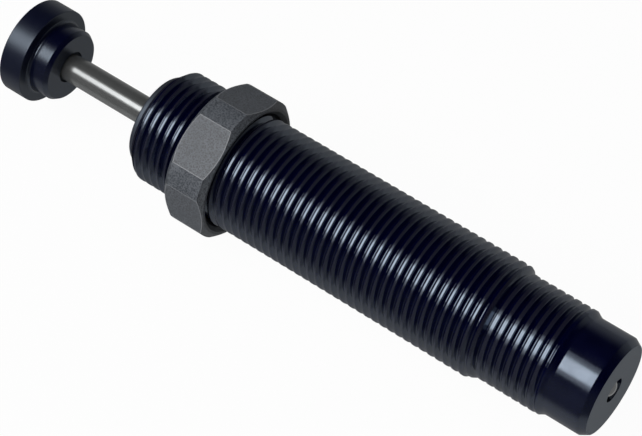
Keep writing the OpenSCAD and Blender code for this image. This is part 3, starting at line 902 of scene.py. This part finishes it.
steel = Finish("polished_rod_finish", (0.34, 0.35, 0.35), 0.2, 0.78)
lines = steel.effect(turning_lines, Lines_per_mm=9.0, Wander=0.05)
clouds = steel.effect(cloudiness, Clouds_per_mm=0.3)
steel.link("Base Color", steel.mix(clouds, (0.34, 0.35, 0.35), (0.38, 0.39, 0.39)))
steel.link("Roughness", steel.mix(lines, 0.17, 0.22))
steel.bump(lines, 0.0006, 0.3)
dress(rod, steel)

bright = Finish("ball_finish", (0.72, 0.73, 0.74), 0.12, 1.0)
clouds = bright.effect(cloudiness, Clouds_per_mm=1.5)
bright.link("Roughness", bright.mix(clouds, 0.08, 0.2))
dress(ball, bright)

# %% [markdown]
# ### Parts inside
#
# These are seen only when the absorber is taken apart, so their solids stay as they are
# and each material slot gets one finish: ground or drawn steel, bronze, rubber, foam and
# PTFE.

# %% Finishes by material slot
def metal_finish(name, low, high, rough_low, rough_high, lines_a_mm):
    """Bare metal between two tones and two roughnesses, with turning lines."""
    made = Finish(name, low, rough_low, 1.0)
    rings = made.effect(turning_lines, Lines_per_mm=lines_a_mm, Wander=0.1)
    film = made.effect(cloudiness, Clouds_per_mm=0.35)
    made.link("Base Color", made.mix(film, low, high))
    made.link("Roughness", made.mix(rings, rough_low, rough_high))
    made.bump(rings, 0.004, 0.4)
    return made


def soft_finish(name, low, high, rough_low, rough_high, grains_a_mm, deep):
    """Rubber, foam or plastic with a grain that is so many millimetres deep."""
    made = Finish(name, low, rough_low)
    cells = made.effect(grain, Grains_per_mm=grains_a_mm)
    made.link("Base Color", made.mix(cells, low, high))
    made.link("Roughness", made.mix(cells, rough_low, rough_high))
    made.bump(cells, deep, 0.6)
    return made


slot_finish = {
    "inner_steel": metal_finish("ground_steel", (0.40, 0.41, 0.43), (0.48, 0.49, 0.51),
                                0.22, 0.36, 5.0),
    "bearing_metal": metal_finish("bearing_steel", (0.32, 0.33, 0.35), (0.4, 0.41, 0.43),
                                  0.25, 0.4, 4.0),
    "bronze": metal_finish("bearing_bronze", (0.52, 0.33, 0.14), (0.6, 0.4, 0.19),
                           0.25, 0.4, 5.0),
    "spring_steel": metal_finish("drawn_wire", (0.45, 0.46, 0.48), (0.55, 0.56, 0.58),
                                 0.2, 0.32, 3.0),
    "spring_black": metal_finish("oiled_spring_steel", (0.03, 0.03, 0.035),
                                 (0.06, 0.06, 0.07), 0.3, 0.45, 4.0),
    "seal_rubber": soft_finish("seal_rubber_finish", (0.012, 0.012, 0.013),
                               (0.03, 0.03, 0.03), 0.42, 0.6, 8.0, 0.01),
    "foam": soft_finish("foam_finish", (0.05, 0.052, 0.055), (0.12, 0.125, 0.13),
                        0.8, 0.95, 2.5, 0.12),
    "ptfe": soft_finish("ptfe_finish", (0.74, 0.72, 0.64), (0.82, 0.8, 0.73),
                        0.4, 0.55, 4.0, 0.006),
}
for part in frame["record"]["subparts"]:
    if part["material_slot"] in slot_finish:
        dress(nodes[part["node"]], slot_finish[part["material_slot"]])
dress(coil, slot_finish["spring_steel"])
print("finishes:", [m.name for m in bpy.data.materials if m.name.endswith("_finish")])
print("finishes for slots:", list(slot_finish))

# %% [markdown]
# ## Studio
#
# The absorber lies on a white table under a long soft box, with dark air all round. Glossy
# black is drawn by what it mirrors: the box gives the bright stripe along every round
# face, the dark air beside it gives the black, and the table gives the grey below. In a
# real studio the table is darker on the near side, where the lens stands, and flags hold
# the light off some directions. So table and air give mirrored rays a strength that
# depends on place and direction.
#
# To the lens both are plain white, so that they are the background. Neither strength
# lights the part: that is done by the lamps, by their light off the table, and by a weak
# light from all sides. One lamp can't be mirrored, so it fills the shadows without
# drawing a second stripe.

# %% Table
def stretch(tree, value, low, high, at_low, at_high):
    """A smooth change from one number at low to another at high."""
    node = tree.nodes.new("ShaderNodeMapRange")
    node.interpolation_type = "SMOOTHSTEP"
    for label, number in (("From Min", low), ("From Max", high),
                          ("To Min", at_low), ("To Max", at_high)):
        node.inputs[label].default_value = number
    tree.links.new(value, node.inputs["Value"])
    return node.outputs[0]


def brightest(tree, *values):
    """The largest of several numbers or sockets."""
    largest = values[-1]
    for value in reversed(values[:-1]):
        largest = calculate(tree, "MAXIMUM", value, largest)
    return largest


def product(tree, *values):
    """All the numbers or sockets multiplied."""
    made = values[-1]
    for value in reversed(values[:-1]):
        made = calculate(tree, "MULTIPLY", value, made)
    return made


table_z, table_size = -12.75, 6     # millimetres below the axis; metres across
glow_share = 0.965                  # the rest is the table's own colour, with its shadow
bpy.ops.mesh.primitive_plane_add(size=table_size, location=(0, 0, table_z * mm))
table = bpy.context.object
table.name = "white_table"
white = bpy.data.materials.new("white_table_finish")
white.use_nodes = True
tree = white.node_tree
tree.nodes.clear()
out = tree.nodes.new("ShaderNodeOutputMaterial")
diffuse = tree.nodes.new("ShaderNodeBsdfDiffuse")
diffuse.inputs["Color"].default_value = (0.8, 0.8, 0.8, 1)
glow = tree.nodes.new("ShaderNodeEmission")
glow.inputs["Color"].default_value = (1, 1, 1, 1)
path = tree.nodes.new("ShaderNodeLightPath")
blend = tree.nodes.new("ShaderNodeMixShader")
geometry = tree.nodes.new("ShaderNodeNewGeometry")
ray, place = (tree.nodes.new("ShaderNodeSeparateXYZ") for _ in range(2))
tree.links.new(geometry.outputs["Incoming"], ray.inputs[0])
tree.links.new(geometry.outputs["Position"], place.inputs[0])
# The place is in metres; the parts of a ray's direction run from -1 to 1
by_place = stretch(tree, place.outputs["Y"], -0.035, -0.018, 0.05, 0.24)
to_rear = stretch(tree, ray.outputs["X"], -0.6, -0.5, 0.55, 1)
to_front = stretch(tree, ray.outputs["X"], 0.5, 0.58, 1, 0)
to_lens = path.outputs["Is Camera Ray"]
mirrored = path.outputs["Is Glossy Ray"]
through_glass = path.outputs["Is Transmission Ray"]
mirror_glow = product(tree, mirrored, by_place, to_front, to_rear)
tree.links.new(brightest(tree, to_lens, mirror_glow, through_glass),
               glow.inputs["Strength"])
tree.links.new(product(tree, brightest(tree, to_lens, mirrored, through_glass), glow_share),
               blend.inputs["Fac"])
tree.links.new(diffuse.outputs[0], blend.inputs[1])
tree.links.new(glow.outputs[0], blend.inputs[2])
tree.links.new(blend.outputs[0], out.inputs["Surface"])
table.data.materials.append(white)

# %% Air around the table
world = bpy.data.worlds.new("studio_air")
bpy.context.scene.world = world
world.use_nodes = True
tree = world.node_tree
tree.nodes.clear()
out = tree.nodes.new("ShaderNodeOutputWorld")
air = tree.nodes.new("ShaderNodeBackground")
path = tree.nodes.new("ShaderNodeLightPath")
split = tree.nodes.new("ShaderNodeSeparateXYZ")
tree.links.new(tree.nodes.new("ShaderNodeTexCoord").outputs["Generated"], split.inputs[0])
air.inputs["Color"].default_value = (1, 1, 1, 1)
even_light = 0.096
by_height = stretch(tree, split.outputs["Z"], 0.05, 0.65, 0.12, 0.005)
by_side = stretch(tree, split.outputs["Y"], -0.6, 0.6, 0.6, 1.3)
at_front = stretch(tree, split.outputs["X"], -0.58, -0.5, 0, 1)
at_rear = stretch(tree, split.outputs["X"], 0.5, 0.6, 1, 0.55)
mirror_glow = product(tree, path.outputs["Is Glossy Ray"], by_height, by_side,
                      at_front, at_rear)
ambient = product(tree, path.outputs["Is Diffuse Ray"], even_light)
tree.links.new(brightest(tree, path.outputs["Is Camera Ray"],
                         path.outputs["Is Transmission Ray"], mirror_glow, ambient),
               air.inputs["Strength"])
tree.links.new(air.outputs[0], out.inputs["Surface"])

# %% Lamps
aim = Vector((14.9, 0, 0)) * mm
axis = Vector((1, 0, 0))


def soft_box(name, direction, distance, width, depth, radiance):
    """A rectangular lamp that faces the part; width runs along X as far as it can.

    All lengths are in metres. The energy grows with the area, so radiance stays the
    brightness of the lamp's face, whatever its size.
    """
    data = bpy.data.lights.new(name, "AREA")
    data.shape = "RECTANGLE"
    data.size, data.size_y = width, depth
    data.energy = radiance * width * depth * pi
    lamp = bpy.data.objects.new(name, data)
    bpy.context.scene.collection.objects.link(lamp)
    back = Vector(direction).normalized()
    right = (axis - back * back.dot(axis)).normalized()
    up = back.cross(right)
    turn = Matrix((right, up, back)).transposed().to_4x4()
    lamp.matrix_world = Matrix.Translation(aim + back * distance) @ turn
    return lamp


key_direction = (-0.3260, -0.5470, 0.7711)
soft_box("key_wide", key_direction, 0.7, 0.36, 0.62, 0.6)
soft_box("key_core", key_direction, 0.68, 0.34, 0.34, 2.6)
fill = soft_box("fill", key_direction, 0.9, 1.3, 0.8, 1.6)
fill.visible_glossy = False

# %% [markdown]
# ## Camera
#
# A long lens looks down on the part from behind and from the side, so that the round
# faces, the seat face of the nut and the rear face with its ball are all seen. The
# camera's place comes from three directions, right, up and back, and the camera is
# rolled by a trace.

# %% Camera
back = Vector((0.3567, -0.4811, 0.8008))
right = Vector((0.8033, 0.5956, 0))
up = back.cross(right).normalized()
roll = 0.0013                # radians
right, up = right + up * roll, up - right * roll
lens_distance = 0.3533       # metres
target = Vector((14.89, -0.2365, -0.1421)) * mm
data = bpy.data.cameras.new("lens")
data.lens = 125.4
data.sensor_width = 36
data.sensor_fit = "HORIZONTAL"
camera = bpy.data.objects.new("camera", data)
bpy.context.scene.collection.objects.link(camera)
camera.matrix_world = Matrix.Translation(target + back * lens_distance) @ \
    Matrix((right, up, back)).transposed().to_4x4()
bpy.context.scene.camera = camera
bpy.context.scene.view_settings.view_transform = "Standard"
